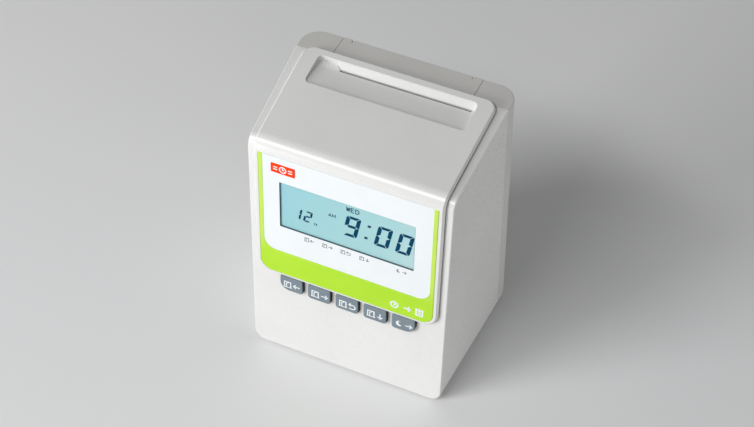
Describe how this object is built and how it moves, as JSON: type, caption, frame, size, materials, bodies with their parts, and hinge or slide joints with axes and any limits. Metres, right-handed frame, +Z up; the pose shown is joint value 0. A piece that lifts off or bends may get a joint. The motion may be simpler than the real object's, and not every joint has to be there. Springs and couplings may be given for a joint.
{
  "type": "punch time clock",
  "caption": "Desk-top time recorder with a hinged hood, card slot, LCD clock, function keys, card feed and a dot-impact print carriage inside.",
  "frame": {"origin": "middle of the footprint, on the surface that the feet stand on", "axes": "+Z up, the display faces -Y, +X is to the right of a user facing the clock"},
  "size_m": [0.1418, 0.1068, 0.1883],
  "materials": {
    "white_plastic": "fine satin texture",
    "grey_plastic": "fine satin texture",
    "base_plastic": "matte",
    "black_rubber": "matte",
    "zinc_steel": "zinc plated",
    "frame_steel": "galvanised sheet",
    "shaft_steel": "ground",
    "window_white": "gloss",
    "trim_green": "gloss",
    "badge_red": "gloss",
    "lcd_cyan": "satin polariser",
    "backlight_white": "diffusing",
    "circuit_green": "solder mask",
    "component_black": "moulded",
    "key_slate": "satin",
    "guide_plastic": "smooth",
    "bush_brass": "sintered",
    "gear_plastic": "natural acetal",
    "motor_steel": "drawn can",
    "carriage_plastic": "glass filled",
    "cassette_plastic": "satin",
    "ribbon_ink": "inked nylon",
    "battery_wrap": "shrink wrap",
    "jack_black": "moulded"
  },
  "bodies": {
    "casing": {"main_housing": "white_plastic", "rear_housing": "grey_plastic", "base_plate": "base_plastic", "rubber_feet": "black_rubber", "base_screws": "zinc_steel", "key_board": "circuit_green", "tact_switches": "component_black", "left_frame": "frame_steel", "right_frame": "frame_steel", "frame_screws": "zinc_steel", "rear_card_guide": "guide_plastic", "lower_card_guide": "guide_plastic", "upper_card_guide": "guide_plastic", "platen": "black_rubber", "card_sensors": "component_black", "shaft_bushes": "bush_brass", "feed_motor": "motor_steel", "guide_rods": "shaft_steel", "drive_belt": "black_rubber", "carriage_motor": "motor_steel", "idler_bracket": "frame_steel", "ribbon_cassette": "cassette_plastic", "cassette_lid": "cassette_plastic", "inked_ribbon": "ribbon_ink", "main_board": "circuit_green", "board_components": "component_black", "board_spacers": "frame_steel", "board_screws": "zinc_steel", "backup_battery": "battery_wrap", "battery_holder": "guide_plastic", "dc_jack": "jack_black", "speaker": "component_black"},
    "hood": {"hood": "white_plastic", "hinge_leaf": "grey_plastic", "hinge_pins": "shaft_steel", "leaf_screws": "zinc_steel", "green_trim": "trim_green", "window_panel": "window_white", "badge_plate": "badge_red", "lcd_glass": "lcd_cyan", "lcd_backlight": "backlight_white", "display_board": "circuit_green", "display_screws": "zinc_steel"},
    "key_1": {"key_1": "key_slate"},
    "key_2": {"key_2": "key_slate"},
    "key_3": {"key_3": "key_slate"},
    "key_4": {"key_4": "key_slate"},
    "key_5": {"key_5": "key_slate"},
    "feed_roller": {"feed_shaft": "shaft_steel", "feed_rollers": "black_rubber", "feed_gear": "gear_plastic"},
    "pinch_roller": {"pinch_shaft": "shaft_steel", "pinch_rollers": "black_rubber"},
    "motor_pinion": {"feed_pinion": "gear_plastic"},
    "carriage": {"print_carriage": "carriage_plastic", "print_head": "motor_steel"},
    "drive_pulley": {"drive_pulley": "gear_plastic"},
    "idler_pulley": {"idler_pulley": "gear_plastic"},
    "left_spool": {"left_ribbon_spool": "ribbon_ink"},
    "right_spool": {"right_ribbon_spool": "ribbon_ink"}
  },
  "joints": [
    {"name": "hood_hinge", "type": "hinge", "parent": "casing", "child": "hood", "pos_m": [0, 0.0495, 0.1815], "axis": [-1, 0, 0], "range_deg": [0, 80]},
    {"name": "key_1_press", "type": "slide", "parent": "casing", "child": "key_1", "axis": [0, 0.9965, -0.0837], "range_m": [0, 0.0012], "stiffness_N_per_m": 500, "springref_m": -0.0005},
    {"name": "key_2_press", "type": "slide", "parent": "casing", "child": "key_2", "axis": [0, 0.9965, -0.0837], "range_m": [0, 0.0012], "stiffness_N_per_m": 500, "springref_m": -0.0005},
    {"name": "key_3_press", "type": "slide", "parent": "casing", "child": "key_3", "axis": [0, 0.9965, -0.0837], "range_m": [0, 0.0012], "stiffness_N_per_m": 500, "springref_m": -0.0005},
    {"name": "key_4_press", "type": "slide", "parent": "casing", "child": "key_4", "axis": [0, 0.9965, -0.0837], "range_m": [0, 0.0012], "stiffness_N_per_m": 500, "springref_m": -0.0005},
    {"name": "key_5_press", "type": "slide", "parent": "casing", "child": "key_5", "axis": [0, 0.9965, -0.0837], "range_m": [0, 0.0012], "stiffness_N_per_m": 500, "springref_m": -0.0005},
    {"name": "feed_turn", "type": "hinge", "parent": "casing", "child": "feed_roller", "pos_m": [0, 0.0203, 0.112], "axis": [1, 0, 0], "continuous": true},
    {"name": "pinch_turn", "type": "hinge", "parent": "casing", "child": "pinch_roller", "pos_m": [0, 0.0331, 0.112], "axis": [1, 0, 0], "continuous": true},
    {"name": "pinion_turn", "type": "hinge", "parent": "casing", "child": "motor_pinion", "pos_m": [0, 0.00947, 0.09763], "axis": [1, 0, 0], "continuous": true},
    {"name": "carriage_slide", "type": "slide", "parent": "casing", "child": "carriage", "axis": [1, 0, 0], "range_m": [0, 0.064]},
    {"name": "drive_pulley_turn", "type": "hinge", "parent": "casing", "child": "drive_pulley", "pos_m": [-0.048, 0, 0.139], "axis": [0, -1, 0], "range_deg": [0, 667.2]},
    {"name": "idler_pulley_turn", "type": "hinge", "parent": "casing", "child": "idler_pulley", "pos_m": [0.048, 0, 0.139], "axis": [0, -1, 0], "range_deg": [0, 667.2]},
    {"name": "left_spool_turn", "type": "hinge", "parent": "casing", "child": "left_spool", "pos_m": [-0.022, 0.0124, 0.16], "axis": [0, 0, 1], "range_deg": [0, 147.2]},
    {"name": "right_spool_turn", "type": "hinge", "parent": "casing", "child": "right_spool", "pos_m": [0.031, 0.0124, 0.16], "axis": [0, 0, 1], "range_deg": [0, 147.2]}
  ],
  "couplings": [
    {"joint": "pinch_turn", "follows": "feed_turn", "ratio": -1.4},
    {"joint": "pinion_turn", "follows": "feed_turn", "ratio": -3.5},
    {"joint": "drive_pulley_turn", "follows": "carriage_slide", "rad_per_m": 181.82},
    {"joint": "idler_pulley_turn", "follows": "carriage_slide", "rad_per_m": 181.82},
    {"joint": "left_spool_turn", "follows": "carriage_slide", "rad_per_m": 40},
    {"joint": "right_spool_turn", "follows": "carriage_slide", "rad_per_m": 40}
  ]
}
